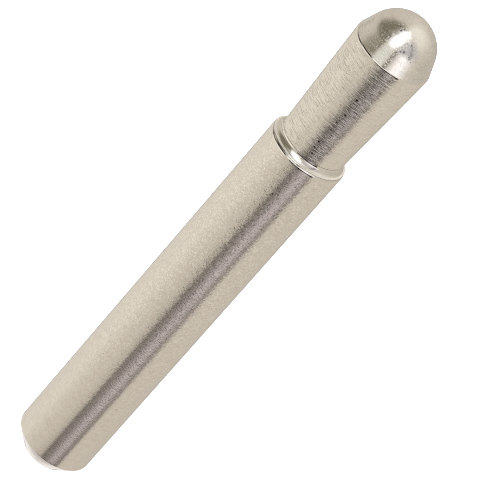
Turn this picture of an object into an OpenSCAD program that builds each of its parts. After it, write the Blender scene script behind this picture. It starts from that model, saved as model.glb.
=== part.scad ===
// Tiller pin: one piece turned from stainless bar, standing on its foot.
// The axis of turning is +Z, and the origin is the centre of the foot's end face.

/* [Shank] */
// Diameter of the plain shank, which goes into the tiller
shank_d = 6.35; // [6.2:0.05:7]
// Length from the foot's end face to the shoulder
shank_l = 35; // [25:0.5:50]
// Height of the lead-in chamfer at the foot
lead_h = 1.45; // [0.8:0.05:2]
// Width of the lead-in chamfer, measured across the radius
lead_w = 1.2; // [0.6:0.05:1.6]

/* [Shoulder] */
// Width of the steep cone that breaks the shoulder's outer edge, measured across the radius
edge_w = 0.07; // [0.03:0.01:0.12]
// Height of that cone
edge_h = 0.22; // [0.1:0.01:0.4]
// Diameter of the neck, where the cove meets the head
neck_d = 5.4; // [5:0.05:5.6]
// Slope of the cove where it leaves the shoulder's edge, from the axis
cove_angle = 75; // [60:1:90]

/* [Head] */
// Diameter of the head's rim, its widest place
head_d = 6.28; // [5.9:0.02:6.6]
// Length from the shoulder to the rim
head_l = 10.2; // [8:0.2:14]
// Height of the conical band above the rim
band_h = 1.2; // [0.6:0.05:1.8]
// Slope of the band, from the axis
band_angle = 19.5; // [10:0.5:28]

/* [Hidden] */
$fn = 128;

steel = [0.78, 0.75, 0.70];

shank_r = shank_d / 2;
foot_r = shank_r - lead_w;

// The cove is an arc that leaves the neck leaning a little more than the head's taper.
cove_lean = 5;
shoulder_r = shank_r - edge_w;
shoulder_z = shank_l + edge_h;
edge_angle = atan(edge_w / edge_h);
neck_r = neck_d / 2;
cove_r = (shoulder_r - neck_r) / (cos(cove_lean) - cos(cove_angle));
neck_z = shoulder_z + cove_r * (sin(cove_lean) + sin(cove_angle));

head_r = head_d / 2;
rim_z = shank_l + head_l;
taper = (head_r - neck_r) / (rim_z - neck_z);

// The nose is a sphere that meets the band at a line too faint to feel.
nose_crease = 1.5;
band_r = head_r - band_h * tan(band_angle);
band_z = rim_z + band_h;
nose_r = band_r / cos(band_angle - nose_crease);
nose_z = band_z - nose_r * sin(band_angle - nose_crease);

// The straight sides run on past both arcs, so that each arc ends where it crosses them.
edge_lap = cove_r / 4;
neck_lap = cove_r * sin(cove_lean - atan(taper));
band_lap = nose_r * sin(nose_crease);

// Half section of the turned bar, without the nose and before the cove is cut
module bar_section() {
    polygon([
        [0, 0],
        [foot_r, 0],
        [shank_r, lead_h],
        [shank_r, shank_l],
        [shoulder_r - edge_lap * sin(edge_angle), shoulder_z + edge_lap * cos(edge_angle)],
        [neck_r - taper * neck_lap, neck_z - neck_lap],
        [head_r, rim_z],
        [band_r - band_lap * tan(band_angle), band_z + band_lap],
        [0, band_z + band_lap],
    ]);
}

module cove_cutter() {
    translate([neck_r + cove_r * cos(cove_lean), neck_z - cove_r * sin(cove_lean)])
        circle(cove_r);
}

module nose_section() {
    intersection() {
        translate([0, nose_z])
            circle(nose_r);
        translate([0, band_z - band_lap])
            square(nose_r);
    }
}

module tiller_pin() {
    color(steel)
        rotate_extrude() {
            difference() {
                bar_section();
                cove_cutter();
            }
            nose_section();
        }
}

tiller_pin();
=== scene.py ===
from math import cos, hypot, radians, sin, tan

import bmesh
import bpy
from mathutils import Matrix, Vector


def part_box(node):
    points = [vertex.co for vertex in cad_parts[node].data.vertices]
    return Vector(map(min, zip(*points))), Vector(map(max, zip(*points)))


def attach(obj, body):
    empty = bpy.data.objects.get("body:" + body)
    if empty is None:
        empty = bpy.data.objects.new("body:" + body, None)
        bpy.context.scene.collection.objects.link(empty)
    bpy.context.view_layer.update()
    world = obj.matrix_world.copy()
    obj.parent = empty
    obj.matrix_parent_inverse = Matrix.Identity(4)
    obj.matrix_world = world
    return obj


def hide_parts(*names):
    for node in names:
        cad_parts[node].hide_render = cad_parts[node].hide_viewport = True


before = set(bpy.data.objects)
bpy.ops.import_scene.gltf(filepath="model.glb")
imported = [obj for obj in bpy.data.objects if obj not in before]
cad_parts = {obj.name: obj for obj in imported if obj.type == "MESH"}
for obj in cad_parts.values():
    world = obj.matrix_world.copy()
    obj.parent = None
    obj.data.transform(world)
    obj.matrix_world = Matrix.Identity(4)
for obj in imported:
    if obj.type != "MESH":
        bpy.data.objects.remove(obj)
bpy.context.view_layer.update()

mm = 0.001
scene = bpy.context.scene
scene.view_settings.view_transform = "Standard"
scene.cycles.use_denoising = False   # it would wipe out the fine grain of the steel
scene.cycles.filter_width = 1.15
print("frame loaded, nodes:", sorted(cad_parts))


# small helpers for node trees

def joinSockets(tree, value, socket):
    # a number, a tuple or another node's output goes into a socket
    if isinstance(value, bpy.types.NodeSocket):
        tree.links.new(value, socket)
    else:
        socket.default_value = value


def addNode(tree, kind, settings=None, **inputs):
    node = tree.nodes.new(kind)
    for name, value in (settings or {}).items():
        setattr(node, name, value)
    for name, value in inputs.items():
        joinSockets(tree, value, node.inputs[name.replace("_", " ")])
    return node


def maths(tree, operation, first, second=0.0, third=0.0):
    node = addNode(tree, "ShaderNodeMath", {"operation": operation})
    for socket, value in zip(node.inputs, (first, second, third)):
        joinSockets(tree, value, socket)
    return node.outputs[0]


def mapRange(tree, value, fromLow, fromHigh, toLow, toHigh, curve="LINEAR"):
    node = addNode(tree, "ShaderNodeMapRange", {"interpolation_type": curve, "clamp": True})
    for name, given in (("Value", value), ("From Min", fromLow), ("From Max", fromHigh),
                        ("To Min", toLow), ("To Max", toHigh)):
        joinSockets(tree, given, node.inputs[name])
    return node.outputs["Result"]


def scaled(tree, place, x, y, z):
    factors = addNode(tree, "ShaderNodeCombineXYZ", X=x, Y=y, Z=z)
    node = addNode(tree, "ShaderNodeVectorMath", {"operation": "MULTIPLY"})
    tree.links.new(place, node.inputs[0])
    tree.links.new(factors.outputs[0], node.inputs[1])
    return node.outputs[0]


def mixColours(tree, share, first, second):
    node = addNode(tree, "ShaderNodeMix", {"data_type": "RGBA"})
    joinSockets(tree, share, node.inputs[0])
    joinSockets(tree, first, node.inputs[6])
    joinSockets(tree, second, node.inputs[7])
    return node.outputs[2]


def newGroup(name, inputs, outputs):
    # inputs and outputs are lists of (name, kind); a third entry is the starting value
    tree = bpy.data.node_groups.new(name, "ShaderNodeTree")
    kinds = {"number": "NodeSocketFloat", "colour": "NodeSocketColor", "vector": "NodeSocketVector"}
    for entry in inputs:
        socket = tree.interface.new_socket(entry[0], in_out="INPUT", socket_type=kinds[entry[1]])
        if len(entry) > 2:
            socket.default_value = entry[2]
    for entry in outputs:
        tree.interface.new_socket(entry[0], in_out="OUTPUT", socket_type=kinds[entry[1]])
    return tree, tree.nodes.new("NodeGroupInput").outputs, tree.nodes.new("NodeGroupOutput").inputs


def placeGroup(tree, group, **inputs):
    return addNode(tree, "ShaderNodeGroup", {"node_tree": group}, **inputs)


# the pin's body

pinShape = {                  # millimetres
    "segments": 192,
    "leadHeight": 1.45,       # cone at the foot
    "leadWidth": 1.2,
    "shankTop": 34.92,
    # shoulder, stretch by stretch: the slope in degrees from the axis that it turns to, its length,
    # and its finish
    "shoulderTurns": (
        (9, 0.14, "brightEdge"),      # rolled edge
        (17, 0.11, "brightEdge"),
        (30, 0.02, "paintedShadeLine"),      # thin line painted dark above it: painted shade
        (42, 0.02, "brightEdge"),
        (75, 0.03, "brightEdge"),
        (75, 0.14, "paintedHighlightLip"),       # ledge, satin and painted near white: painted highlight
        (52, 0.05, "brightEdge"),     # fillet, and its tail up to the neck
        (18, 0.36, "brightEdge"),
        (7, 0.03, "brightEdge"),
        (3.5, 0.08, "brightEdge"),
        (0, 0.08, "brightEdge"),
        (0, 0.03, "paintedShadeLine"),       # line painted dark where the head starts: painted shade in the crease
    ),
    "headRadius": 3.14,
    "rimHeight": 45.2,
    "bandHeight": 1.2,
    "bandAngle": 19.5,
    "noseCrease": 1.5,
    "footRound": 0.12,
    "leadRound": 0.03,
    "rimRound": 0.13,
    "support": 0.04,          # gap from an edge to the ring that keeps its shading from spreading
    # deeper tool marks on the head, by height
    "scores": (36.25, 36.55, 36.85, 37.5, 37.95, 40.6, 43.2, 44.1, 44.4),
    "scoreDepth": 0.0075,
    "scoreHalf": 0.05,
    "bandScore": 45.75,       # one light mark round the cone band
    "bandScoreDepth": 0.004,
    "stretchSteps": 6,        # rings in each stretch of the shoulder
    "noseSteps": 40,
    "tipGap": 0.004,          # angle short of the tip, in radians, where the last ring closes
    "mergeGap": 1e-4,
    "sharpest": 32,           # degrees; flatter edges are shaded smooth
}

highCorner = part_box("tiller_pin")[1]
shankRadius = highCorner.x / mm
tipHeight = highCorner.z / mm


def startRing(radius):
    bpy.ops.object.select_all(action="DESELECT")
    bpy.ops.mesh.primitive_circle_add(vertices=pinShape["segments"], radius=radius, fill_type="NGON")
    bpy.ops.object.mode_set(mode="EDIT")
    bpy.ops.mesh.select_mode(type="EDGE")
    bpy.ops.mesh.select_all(action="SELECT")
    return {"radius": radius, "height": 0.0, "path": [(0.0, radius)]}


def raiseRing(ring, height, radius):
    # one step up the profile: the open edge is pulled up and scaled to its new radius
    bpy.ops.mesh.extrude_edges_move(
        TRANSFORM_OT_translate={"value": (0, 0, height - ring["height"])})
    factor = radius / ring["radius"]
    bpy.ops.transform.resize(value=(factor, factor, 1), center_override=(0, 0, height))
    ring["radius"] = radius
    ring["height"] = height
    ring["path"].append((height, radius))


def cutScore(ring, middle, radiusAt, depth):
    # a shallow groove round the pin, between two support rings
    half = pinShape["scoreHalf"]
    outer = half + pinShape["support"]
    for offset, share in ((-outer, 0), (-half, 0), (0, 1), (half, 0), (outer, 0)):
        height = middle + offset
        raiseRing(ring, height, radiusAt(height) - share * depth)


def pickRing(piece, height, radius, near=1e-3):
    bpy.ops.mesh.select_all(action="DESELECT")
    mesh = bmesh.from_edit_mesh(piece.data)

    def onRing(vertex):
        away = hypot(vertex.co.x, vertex.co.y) - radius
        return abs(vertex.co.z - height) < near and abs(away) < near

    for edge in mesh.edges:
        if all(onRing(vertex) for vertex in edge.verts):
            edge.select_set(True)
    bmesh.update_edit_mesh(piece.data)


def modelPin():
    shape = pinShape
    footRadius = shankRadius - shape["leadWidth"]
    ring = startRing(footRadius)
    piece = bpy.context.object
    piece.name = "tillerPin"
    piece.data.name = "tillerPin"

    # foot cone and shank
    support = shape["support"]
    raiseRing(ring, shape["leadHeight"], shankRadius)
    raiseRing(ring, shape["leadHeight"] + shape["leadRound"] + support, shankRadius)
    raiseRing(ring, shape["shankTop"] - support, shankRadius)
    raiseRing(ring, shape["shankTop"], shankRadius)

    # rolled edge of the shoulder and the cove behind it, turned stretch by stretch
    slope = 0
    stretchSteps = shape["stretchSteps"]
    shoulderZones = []
    for turnTo, length, finish in shape["shoulderTurns"]:
        for step in range(stretchSteps):
            middle = radians(slope + (turnTo - slope) * (step + 0.5) / stretchSteps)
            rise = cos(middle) * length / stretchSteps
            inwards = sin(middle) * length / stretchSteps
            raiseRing(ring, ring["height"] + rise, ring["radius"] - inwards)
        slope = turnTo
        shoulderZones.append((finish, ring["height"]))
    neckRadius = ring["radius"]
    neckHeight = ring["height"]

    # tapered head with its scores, each between two support rings
    taper = (shape["headRadius"] - neckRadius) / (shape["rimHeight"] - neckHeight)

    def headRadiusAt(height):
        return neckRadius + taper * (height - neckHeight)

    raiseRing(ring, neckHeight + support, headRadiusAt(neckHeight + support))
    for middle in shape["scores"]:
        cutScore(ring, middle, headRadiusAt, shape["scoreDepth"])
    rimGap = shape["rimRound"] + support
    raiseRing(ring, shape["rimHeight"] - rimGap, headRadiusAt(shape["rimHeight"] - rimGap))
    raiseRing(ring, shape["rimHeight"], shape["headRadius"])

    # cone band and round nose
    lean = tan(radians(shape["bandAngle"]))
    bandTop = shape["rimHeight"] + shape["bandHeight"]
    bandRadius = shape["headRadius"] - shape["bandHeight"] * lean

    def bandRadiusAt(height):
        return shape["headRadius"] - lean * (height - shape["rimHeight"])

    raiseRing(ring, shape["rimHeight"] + rimGap, bandRadiusAt(shape["rimHeight"] + rimGap))
    cutScore(ring, shape["bandScore"], bandRadiusAt, shape["bandScoreDepth"])
    raiseRing(ring, bandTop, bandRadius)
    startAngle = radians(shape["bandAngle"] - shape["noseCrease"])
    noseRadius = bandRadius / cos(startAngle)
    noseLevel = bandTop - noseRadius * sin(startAngle)
    noseTip = noseLevel + noseRadius
    upright = radians(90)
    for step in range(1, shape["noseSteps"]):
        angle = startAngle + (upright - startAngle) * step / shape["noseSteps"]
        raiseRing(ring, noseLevel + noseRadius * sin(angle), noseRadius * cos(angle))
    raiseRing(ring, noseTip, noseRadius * cos(upright - shape["tipGap"]))
    bpy.ops.mesh.edge_collapse()

    # small rounds on the turned edges: where, how wide, and in how many steps
    for height, radius, width, steps in (
        (0.0, footRadius, shape["footRound"], 4),
        (shape["leadHeight"], shankRadius, shape["leadRound"], 5),
        (shape["rimHeight"], shape["headRadius"], shape["rimRound"], 6),
    ):
        pickRing(piece, height, radius)
        bpy.ops.mesh.bevel(offset=width, segments=steps, profile=0.5, affect="EDGES")

    bpy.ops.mesh.select_all(action="SELECT")
    bpy.ops.mesh.remove_doubles(threshold=shape["mergeGap"])
    bpy.ops.mesh.normals_make_consistent(inside=False)
    bpy.ops.transform.resize(value=(mm, mm, mm), center_override=(0, 0, 0))
    bpy.ops.object.mode_set(mode="OBJECT")
    bpy.ops.object.shade_smooth_by_angle(angle=radians(shape["sharpest"]))
    print("pin modelled:", len(piece.data.polygons), "faces, tip at", round(noseTip, 3), "mm")
    return piece, shoulderZones, ring["path"]


pin, shoulderZones, pinPath = modelPin()


def pinRadiusAt(height):
    # radius of the turned profile, between the two rings beside a height
    for (low, lowRadius), (high, highRadius) in zip(pinPath, pinPath[1:]):
        if low <= height < high:
            return lowRadius + (highRadius - lowRadius) * (height - low) / (high - low)
    return 0.0


# finishes of the steel

grainLook = {
    "fleckCloseness": 1.2,       # flecks lie this much closer than the grain
    "fleckRange": (0.55, 0.68),  # noise where a fleck begins and is full
    "toneScale": 1.6,
    "toneDetail": 4.0,
    "toneRoughness": 0.65,
    "dullRange": (0.35, 0.68),   # noise where the tone turns dull
    "satinRange": (0.3, 0.7),    # grain that is smoothest and dullest
}


def grainGroup():
    # fine satin grain and raised flecks for the bump, and a slow change of tone
    tree, given, result = newGroup(
        "satinGrain",
        [("Place", "vector"), ("Fineness", "number", 8.0), ("Stretch", "number", 0.7)],
        [("Height", "number"), ("Fleck", "number"), ("Tone", "number")],
    )
    along = scaled(tree, given["Place"], 1.0, 1.0, given["Stretch"])
    fine = addNode(tree, "ShaderNodeTexNoise", Vector=along, Scale=given["Fineness"],
                   Detail=1.0, Roughness=0.5)
    closer = maths(tree, "MULTIPLY", given["Fineness"], grainLook["fleckCloseness"])
    spots = addNode(tree, "ShaderNodeTexNoise", Vector=along, Scale=closer, Detail=0.0)
    slow = addNode(tree, "ShaderNodeTexNoise", Vector=along, Scale=grainLook["toneScale"],
                   Detail=grainLook["toneDetail"], Roughness=grainLook["toneRoughness"])
    flecks = mapRange(tree, spots.outputs["Fac"], *grainLook["fleckRange"], 0.0, 1.0, "SMOOTHSTEP")
    tree.links.new(fine.outputs["Fac"], result["Height"])
    tree.links.new(flecks, result["Fleck"])
    tree.links.new(slow.outputs["Fac"], result["Tone"])
    return tree


ringLook = {
    "turningScale": 2.5,          # finest marks in one pitch
    "streakDetail": 1.0,
    "streakRoughness": 0.6,
    "troughRange": (0.47, 0.33),  # streaks where a trough begins and is deepest
}


def ringsGroup():
    # tool marks round the axis: long thin streaks that start and fade; Trough marks their grooves,
    # where shade is painted
    tree, given, result = newGroup(
        "latheRings",
        [("Place", "vector"), ("Pitch", "number", 0.15), ("Reach", "number", 2.0)],
        [("Height", "number"), ("Trough", "number")],
    )
    around = maths(tree, "DIVIDE", 1.0, given["Reach"])
    up = maths(tree, "DIVIDE", 1.0, given["Pitch"])
    along = scaled(tree, given["Place"], around, around, up)
    turning = addNode(tree, "ShaderNodeTexNoise", Vector=along, Scale=ringLook["turningScale"],
                      Detail=0.0)
    streaks = addNode(tree, "ShaderNodeTexNoise", Vector=along, Scale=1.0,
                      Detail=ringLook["streakDetail"], Roughness=ringLook["streakRoughness"])
    height = maths(tree, "ADD", streaks.outputs["Fac"], turning.outputs["Fac"])
    trough = mapRange(tree, streaks.outputs["Fac"], *ringLook["troughRange"], 0.0, 1.0)
    tree.links.new(height, result["Height"])
    tree.links.new(trough, result["Trough"])
    return tree


pitCore = 0.5   # share of a pit's size that is fully dark


def pitsGroup():
    # sparse small pits: one in a few cells holds a round dark spot
    tree, given, result = newGroup(
        "darkPits",
        [("Place", "vector"), ("Spacing", "number", 0.6), ("Size", "number", 0.1),
         ("Share", "number", 0.2)],
        [("Mask", "number")],
    )
    closeness = maths(tree, "DIVIDE", 1.0, given["Spacing"])
    cells = addNode(tree, "ShaderNodeTexVoronoi", Vector=given["Place"], Scale=closeness)
    pick = addNode(tree, "ShaderNodeSeparateColor", Color=cells.outputs["Color"])
    chosen = maths(tree, "LESS_THAN", pick.outputs[0], given["Share"])
    reach = maths(tree, "MULTIPLY", cells.outputs["Distance"], given["Spacing"])
    inner = maths(tree, "MULTIPLY", given["Size"], pitCore)
    spot = mapRange(tree, reach, inner, given["Size"], 1.0, 0.0, "SMOOTHSTEP")
    tree.links.new(maths(tree, "MULTIPLY", spot, chosen), result["Mask"])
    return tree


def markGroup():
    # one dark pit at a given spot
    tree, given, result = newGroup(
        "singlePit",
        [("Place", "vector"), ("Spot", "vector"), ("Size", "number", 0.1)],
        [("Mask", "number")],
    )
    away = addNode(tree, "ShaderNodeVectorMath", {"operation": "DISTANCE"})
    tree.links.new(given["Place"], away.inputs[0])
    tree.links.new(given["Spot"], away.inputs[1])
    inner = maths(tree, "MULTIPLY", given["Size"], pitCore)
    spot = mapRange(tree, away.outputs["Value"], inner, given["Size"], 1.0, 0.0, "SMOOTHSTEP")
    tree.links.new(spot, result["Mask"])
    return tree


satinGrain = grainGroup()
latheRings = ringsGroup()
darkPits = pitsGroup()
singlePit = markGroup()

steelFinishes = {
    # rough is for the smoothest grain, the dullest grain and the flecks; bumps are in metres, and
    # pitch, spacing and pit sizes in millimetres
    # marks are single pits: height in millimetres, bearing in degrees from the front, and size
    "drawnShank": {
        "tone": (0.735, 0.695, 0.615), "dull": (0.685, 0.63, 0.57), "fleck": (0.87, 0.83, 0.755),
        "pit": (0.16, 0.14, 0.13), "rough": (0.10, 0.14, 0.26), "fineness": 5.5, "stretch": 2.0,
        "grainBump": 1.3e-5, "fleckBump": 2e-6, "pitch": 0.2, "ringBump": 0.0, "ringShade": 0.0,
        "spacing": 0.5, "pitSize": 0.05, "pitShare": 0.03,
        "marks": ((32.1, 3, 0.1), (32.6, 8, 0.06), (27.9, 8, 0.06), (26.5, 15, 0.06)),
    },
    "brightEdge": {
        "tone": (0.74, 0.70, 0.63), "dull": (0.71, 0.67, 0.60), "fleck": (0.76, 0.72, 0.66),
        "pit": (0.25, 0.22, 0.20), "rough": (0.04, 0.07, 0.08), "fineness": 6.0, "stretch": 1.0,
        "grainBump": 1e-6, "fleckBump": 0.0, "pitch": 0.08, "ringBump": 1e-6, "ringShade": 0.0,
        "spacing": 0.9, "pitSize": 0.03, "pitShare": 0.0, "marks": (),
    },
    # a copy of the steel painted nearly black for thin dark lines: painted shade
    "paintedShadeLine": {
        "tone": (0.10, 0.09, 0.08), "dull": (0.08, 0.07, 0.06), "fleck": (0.12, 0.11, 0.09),
        "pit": (0.03, 0.03, 0.03), "rough": (0.11, 0.15, 0.16), "fineness": 6.0, "stretch": 1.0,
        "grainBump": 2e-6, "fleckBump": 0.0, "pitch": 0.1, "ringBump": 0.0, "ringShade": 0.0,
        "spacing": 0.5, "pitSize": 0.05, "pitShare": 0.1, "marks": (),
    },
    # a satin copy of the steel painted near white for a bright line on the ledge: painted highlight
    "paintedHighlightLip": {
        "tone": (0.95, 0.92, 0.86), "dull": (0.93, 0.90, 0.84), "fleck": (0.97, 0.94, 0.88),
        "pit": (0.25, 0.22, 0.20), "rough": (0.62, 0.68, 0.68), "fineness": 6.0, "stretch": 1.0,
        "grainBump": 1e-6, "fleckBump": 0.0, "pitch": 0.08, "ringBump": 0.0, "ringShade": 0.0,
        "spacing": 0.9, "pitSize": 0.03, "pitShare": 0.0, "marks": (),
    },
    "turnedHead": {
        "tone": (0.765, 0.725, 0.64), "dull": (0.72, 0.665, 0.595), "fleck": (0.86, 0.82, 0.74),
        "pit": (0.05, 0.045, 0.04), "rough": (0.10, 0.14, 0.26), "fineness": 8.5, "stretch": 1.4,
        "grainBump": 2e-6, "fleckBump": 1e-6, "pitch": 0.075, "ringBump": 1.1e-5, "ringShade": 0.12,
        "spacing": 0.55, "pitSize": 0.06, "pitShare": 0.08,
        "marks": ((36.4, 8, 0.09), (36.95, 4, 0.07), (37.15, 15, 0.07), (37.5, 4, 0.11),
                  (37.5, 25, 0.06), (39.6, 5, 0.07), (40.45, 8, 0.1), (41.95, 6, 0.12),
                  (42.9, 15, 0.06), (44.75, 9, 0.07)),
    },
    "polishedNose": {
        "tone": (0.745, 0.71, 0.64), "dull": (0.71, 0.665, 0.60), "fleck": (0.80, 0.77, 0.71),
        "pit": (0.20, 0.19, 0.195), "rough": (0.11, 0.15, 0.36), "fineness": 8.0, "stretch": 1.0,
        "grainBump": 3e-6, "fleckBump": 1e-6, "pitch": 0.12, "ringBump": 2e-6, "ringShade": 0.12,
        "spacing": 0.4, "pitSize": 0.05, "pitShare": 0.06,
        "marks": ((46.5, 31, 0.06), (46.55, 4, 0.07), (46.75, 8, 0.09), (46.75, 24, 0.06),
                  (46.85, 13, 0.11), (47.4, 18, 0.07), (47.65, -17, 0.11), (47.75, -26, 0.07),
                  (47.8, -14, 0.07)),
    },
}

footWear = {                 # the grain is worn smoother toward the foot
    "heights": (3.0, 20.0),  # millimetres, from most worn to not at all
    "grainLeft": 0.3,
}
glancingTint = (0.86, 0.85, 0.84, 1)


def makeSteel(name):
    finish = steelFinishes[name]
    steel = bpy.data.materials.new(name)
    steel.use_nodes = True
    tree = steel.node_tree
    shader = tree.nodes["Principled BSDF"]
    shader.inputs["Metallic"].default_value = 1.0
    shader.inputs["Specular Tint"].default_value = glancingTint

    coordinates = addNode(tree, "ShaderNodeTexCoord")
    inMillimetres = addNode(tree, "ShaderNodeMapping", Vector=coordinates.outputs["Object"])
    inMillimetres.inputs["Scale"].default_value = (1 / mm, 1 / mm, 1 / mm)
    place = inMillimetres.outputs[0]
    grain = placeGroup(tree, satinGrain, Place=place, Fineness=finish["fineness"],
                       Stretch=finish["stretch"])
    rings = placeGroup(tree, latheRings, Place=place, Pitch=finish["pitch"])
    pits = placeGroup(tree, darkPits, Place=place, Spacing=finish["spacing"], Size=finish["pitSize"],
                      Share=finish["pitShare"])

    pitted = pits.outputs["Mask"]
    for height, bearing, size in finish["marks"]:
        radius = pinRadiusAt(height)
        turn = radians(bearing)
        spot = (radius * sin(turn), -radius * cos(turn), height)
        mark = placeGroup(tree, singlePit, Place=place, Spot=spot, Size=size)
        pitted = maths(tree, "MAXIMUM", pitted, mark.outputs["Mask"])

    level = addNode(tree, "ShaderNodeSeparateXYZ", Vector=place)
    unworn = mapRange(tree, level.outputs["Z"], *footWear["heights"], footWear["grainLeft"], 1.0)
    flecks = maths(tree, "MULTIPLY", grain.outputs["Fleck"], unworn)
    dullness = mapRange(tree, grain.outputs["Tone"], *grainLook["dullRange"], 0.0, 1.0, "SMOOTHSTEP")
    metal = mixColours(tree, dullness, (*finish["tone"], 1), (*finish["dull"], 1))
    flecked = mixColours(tree, flecks, metal, (*finish["fleck"], 1))
    # the ring troughs darken the base colour toward the pit colour: painted shade in the grooves of
    # the tool marks
    shade = maths(tree, "MULTIPLY", rings.outputs["Trough"], finish["ringShade"])
    ringed = mixColours(tree, shade, flecked, (*finish["pit"], 1))
    worn = mixColours(tree, pitted, ringed, (*finish["pit"], 1))
    joinSockets(tree, worn, shader.inputs["Base Color"])
    smooth, dull, fleck = finish["rough"]
    satin = mapRange(tree, grain.outputs["Height"], *grainLook["satinRange"], smooth, dull)
    roughness = maths(tree, "MULTIPLY_ADD", flecks, fleck - dull, satin)
    joinSockets(tree, roughness, shader.inputs["Roughness"])

    ringHeight = maths(tree, "MULTIPLY", rings.outputs["Height"], finish["ringBump"])
    grainDepth = maths(tree, "MULTIPLY", unworn, finish["grainBump"])
    surface = maths(tree, "MULTIPLY_ADD", grain.outputs["Height"], grainDepth, ringHeight)
    surface = maths(tree, "MULTIPLY_ADD", flecks, finish["fleckBump"], surface)
    bump = addNode(tree, "ShaderNodeBump", Height=surface, Strength=1.0, Distance=1.0)
    joinSockets(tree, bump.outputs[0], shader.inputs["Normal"])
    return steel


def dressPin(piece):
    rim = pinShape["rimHeight"]
    rimWidth = pinShape["rimRound"]
    zones = [   # finish, and the height in millimetres that it reaches
        ("drawnShank", pinShape["shankTop"]),
        *shoulderZones,
        ("turnedHead", rim - rimWidth),
        ("brightEdge", rim + rimWidth),
        ("polishedNose", tipHeight + 1),
    ]
    names = list(steelFinishes)
    for name in names:
        piece.data.materials.append(makeSteel(name))
    for face in piece.data.polygons:
        height = face.center.z / mm
        finish = next(name for name, top in zones if height < top)
        face.material_index = names.index(finish)
    print("finishes:", names)


dressPin(pin)
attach(pin, "root")
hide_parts("tiller_pin")


# floor

floorLook = {
    "size": 2.0,              # metres
    "colour": (0.9, 0.9, 0.9, 1),
    "roughness": 0.9,
    "glow": 0.75,
}


def layFloor():
    bpy.ops.object.select_all(action="DESELECT")
    bpy.ops.mesh.primitive_plane_add(size=floorLook["size"])
    floor = bpy.context.object
    floor.name = "paleFloor"
    paper = bpy.data.materials.new("paleFloor")
    paper.use_nodes = True
    shader = paper.node_tree.nodes["Principled BSDF"]
    shader.inputs["Base Color"].default_value = floorLook["colour"]
    shader.inputs["Roughness"].default_value = floorLook["roughness"]
    shader.inputs["Emission Color"].default_value = (1, 1, 1, 1)
    shader.inputs["Emission Strength"].default_value = floorLook["glow"]
    floor.data.materials.append(paper)
    floor.visible_glossy = False   # the steel reflects the light tent below the horizon too
    floor.visible_shadow = False
    print("floor laid")


layFloor()


# light tent, drawn on the sky by azimuth (0 is the camera's side, plus is +X) and elevation in degrees

tentBase = (0.76, 0.715, 0.65)
tentCards = [
    # name, azimuth from and to, elevation from and to, soft (left, right, low, high), colour, cover
    ("leftGlow", (-175, -60), (-90, -12), (20, 30, 5, 14), (0.935, 0.90, 0.837), 1.0),
    ("rightDim", (86, 165), (-14, 16), (16, 15, 8, 14), (0.67, 0.64, 0.58), 1.0),
    ("rightGlow", (66, 190), (42, 95), (14, 20, 24, 5), (1.06, 1.04, 0.97), 1.0),
    ("lowGlow", (-200, 200), (-91, -60), (1, 1, 1, 6), (0.78, 0.76, 0.77), 1.0),
    ("backGrey", (160, 200), (-45, -8), (10, 10, 10, 5), (0.45, 0.445, 0.43), 0.9),
    ("footGlow", (130, 230), (-62, -44), (15, 15, 5, 4), (1.20, 1.18, 1.20), 1.0),
    ("zenith", (-200, 200), (76, 95), (1, 1, 12, 2), (1.02, 1.0, 0.95), 1.0),
    ("edgeGlow", (-105, -38), (-23, -14), (16, 10, 1.5, 2), (1.20, 1.15, 1.06), 1.0),
    ("horizonFar", (-140, -85), (-16, -8), (15, 10, 2, 2), (0.50, 0.48, 0.43), 0.8),
    ("horizonWest", (-115, -76), (-18, -9), (12, 8, 2, 1.5), (0.09, 0.08, 0.065), 1.0),
    ("horizonLeft", (-80, -24), (-14, 0), (14, 8, 2, 2.5), (0.055, 0.05, 0.04), 1.0),
    ("rimGlow", (-30, 57), (-10, -4), (8, 2, 1.5, 1.5), (1.36, 1.36, 1.38), 1.0),
    ("horizon", (-9, 56), (-25, -11), (20, 2, 2.5, 2), (0.015, 0.013, 0.012), 1.0),
    ("horizonEdge", (-18, 2), (-21, -12), (4, 8, 1.5, 2), (0.015, 0.013, 0.012), 1.0),
    ("brownLow", (-88, -36), (5, 20), (18, 6, 4, 8), (0.38, 0.35, 0.28), 1.0),
    ("brownTop", (-122, -50), (58, 82), (18, 10, 8, 8), (0.45, 0.43, 0.37), 0.85),
    ("brownCloth", (-112, -36), (11, 66), (18, 5, 7, 12), (0.25, 0.227, 0.177), 1.0),
    ("keyHalo", (-62, -20), (40, 75), (14, 10, 10, 10), (0.75, 0.72, 0.66), 0.6),
    ("key", (-29, -5), (22, 95), (16, 9, 11, 10), (2.4, 2.54, 2.8), 1.0),
    ("keyUpper", (-30, 7), (38, 95), (14, 10, 10, 5), (2.3, 2.43, 2.65), 1.0),
    ("topKey", (-52, 32), (64, 95), (14, 36, 12, 5), (1.9, 2.0, 2.2), 1.0),
    ("lilacWall", (9, 74), (16, 57), (8, 12, 7, 10), (0.70, 0.69, 0.73), 1.0),
    ("pinkGlow", (22, 57), (-2, 19), (12, 16, 2, 7), (1.50, 1.49, 1.56), 1.0),
    ("creamGlow", (-31, -2), (-4, 17), (6, 4, 3, 5), (0.88, 0.90, 0.85), 1.0),
    ("lilacPost", (47, 57), (13, 60), (4, 3, 4, 6), (0.40, 0.39, 0.41), 0.9),
    ("stripe", (5, 58), (-64, -24), (10, 4, 8, 3), (0.40, 0.36, 0.355), 1.0),
    ("stripeGlow", (24, 44), (-40, -20), (10, 8, 6, 5), (0.80, 0.735, 0.775), 0.9),
    ("stripeLow", (-9, 56), (-64, -37.5), (20, 5, 6, 4), (0.03, 0.028, 0.03), 1.0),
    ("post", (2, 11), (-6, 19), (3, 3, 4, 4), (0.27, 0.25, 0.24), 0.95),
    ("postLow", (2, 10), (-40, -20), (4, 4, 6, 3), (0.22, 0.20, 0.19), 0.9),
]


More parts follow.
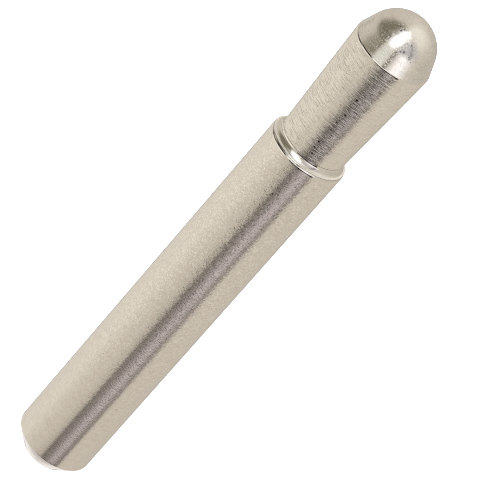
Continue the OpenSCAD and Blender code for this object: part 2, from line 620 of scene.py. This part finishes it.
def cardGroup():
    tree, given, result = newGroup(
        "softCard",
        [("Backdrop", "colour"), ("Azimuth", "number"), ("Elevation", "number"), ("Card", "colour"),
         ("Middle", "number"), ("Half Width", "number"), ("Low", "number"), ("High", "number"),
         ("Soft Left", "number"), ("Soft Right", "number"), ("Soft Low", "number"),
         ("Soft High", "number"), ("Cover", "number")],
        [("Colour", "colour")],
    )

    def edge(value, middle, soft, rising):
        low = maths(tree, "SUBTRACT", middle, soft)
        high = maths(tree, "ADD", middle, soft)
        ends = (0.0, 1.0) if rising else (1.0, 0.0)
        return mapRange(tree, value, low, high, *ends, "SMOOTHSTEP")

    aside = maths(tree, "SUBTRACT", given["Azimuth"], given["Middle"])
    aside = maths(tree, "WRAP", aside, 180.0, -180.0)
    leftEnd = maths(tree, "MULTIPLY", given["Half Width"], -1.0)
    mask = given["Cover"]
    for value, middle, soft, rising in (
        (aside, leftEnd, "Soft Left", True),
        (aside, given["Half Width"], "Soft Right", False),
        (given["Elevation"], given["Low"], "Soft Low", True),
        (given["Elevation"], given["High"], "Soft High", False),
    ):
        mask = maths(tree, "MULTIPLY", mask, edge(value, middle, given[soft], rising))
    tree.links.new(mixColours(tree, mask, given["Backdrop"], given["Card"]), result["Colour"])
    return tree


def hangTent():
    tent = bpy.data.worlds.new("lightTent")
    scene.world = tent
    tent.use_nodes = True
    tree = tent.node_tree
    backdrop = tree.nodes["Background"]
    direction = addNode(tree, "ShaderNodeTexCoord").outputs["Generated"]
    parts = addNode(tree, "ShaderNodeSeparateXYZ", Vector=direction)
    inFront = maths(tree, "MULTIPLY", parts.outputs["Y"], -1.0)
    azimuth = maths(tree, "DEGREES", maths(tree, "ARCTAN2", parts.outputs["X"], inFront))
    elevation = maths(tree, "DEGREES", maths(tree, "ARCSINE", parts.outputs["Z"]))
    group = cardGroup()
    colour = (*tentBase, 1)
    for name, across, up, soft, tint, cover in tentCards:
        card = placeGroup(
            tree, group, Backdrop=colour, Azimuth=azimuth, Elevation=elevation, Card=(*tint, 1),
            Middle=sum(across) / 2, Half_Width=(across[1] - across[0]) / 2,
            Low=float(up[0]), High=float(up[1]),
            Soft_Left=float(soft[0]), Soft_Right=float(soft[1]),
            Soft_Low=float(soft[2]), Soft_High=float(soft[3]), Cover=cover,
        )
        card.label = name
        colour = card.outputs["Colour"]
    tree.links.new(colour, backdrop.inputs["Color"])
    tent.cycles.sampling_method = "MANUAL"
    tent.cycles.sample_map_resolution = 1024
    print("tent hung with", len(tentCards), "cards")


hangTent()


# camera

cameraSetup = {
    "tilt": 30.0,             # degrees above the horizon
    "roll": 48.7712,          # turn of the picture against the pin's axis
    "distance": 219.5,        # millimetres from the pin's axis plane
    "aim": (0.542, 22.179),   # across the pin and up the picture's pin axis, millimetres
    "focal": 2822.75,         # in pixels of the 478 x 480 picture
    "pictureHeight": 480,
}


def placeCamera():
    setup = cameraSetup
    tilt = radians(setup["tilt"])
    roll = radians(setup["roll"])
    along = Vector((0, sin(tilt), cos(tilt)))      # the pin's axis as the camera sees it
    across = Vector((1, 0, 0))
    back = Vector((0, -cos(tilt), sin(tilt)))      # from the pin to the camera
    right = cos(roll) * along + sin(roll) * across
    up = sin(roll) * along - cos(roll) * across
    position = (setup["aim"][0] * across + setup["aim"][1] * along + setup["distance"] * back) * mm
    data = bpy.data.cameras.new("benchCamera")
    data.sensor_width = 36.0
    data.lens = setup["focal"] / setup["pictureHeight"] * data.sensor_width
    data.clip_start = 0.01
    data.clip_end = 10.0
    camera = bpy.data.objects.new("benchCamera", data)
    scene.collection.objects.link(camera)
    turn = Matrix((right, up, back)).transposed().to_4x4()
    camera.matrix_world = Matrix.Translation(position) @ turn
    scene.camera = camera
    print("camera at", [round(v / mm, 1) for v in position], "mm")


placeCamera()
